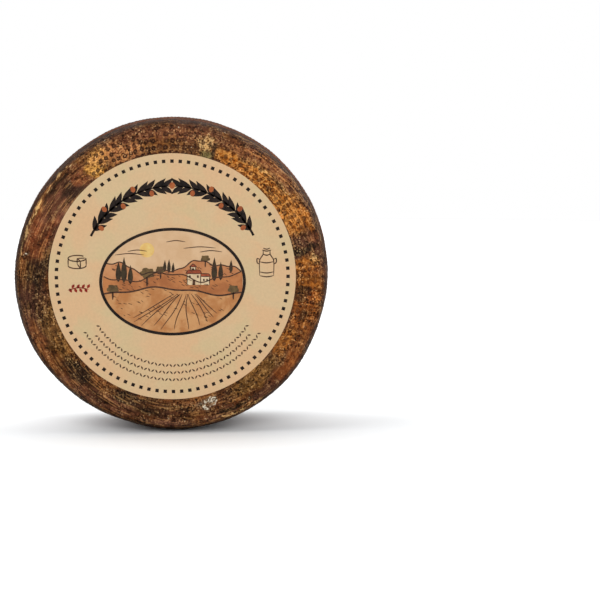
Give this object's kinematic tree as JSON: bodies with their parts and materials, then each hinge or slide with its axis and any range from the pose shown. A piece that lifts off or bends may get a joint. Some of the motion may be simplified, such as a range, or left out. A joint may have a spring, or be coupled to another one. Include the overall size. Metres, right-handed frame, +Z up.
{
  "type": "semi-aged cheese wheel",
  "caption": "Whole wheel of semi-aged cheese with an oiled brown rind, standing on its rim, with a round paper label on its front face.",
  "frame": {"origin": "middle of the part's footprint on the surface it rests on", "axes": "+Z up, the wheel's axis along Y, the labelled front face looking towards -Y"},
  "size_m": [0.2008, 0.0898, 0.199],
  "materials": {
    "rind": "oiled, semi-gloss, mottled brown",
    "label_paper": "smooth uncoated paper, printed"
  },
  "bodies": {
    "root": {"cheese_wheel": "rind", "paper_label": "label_paper"}
  },
  "joints": []
}
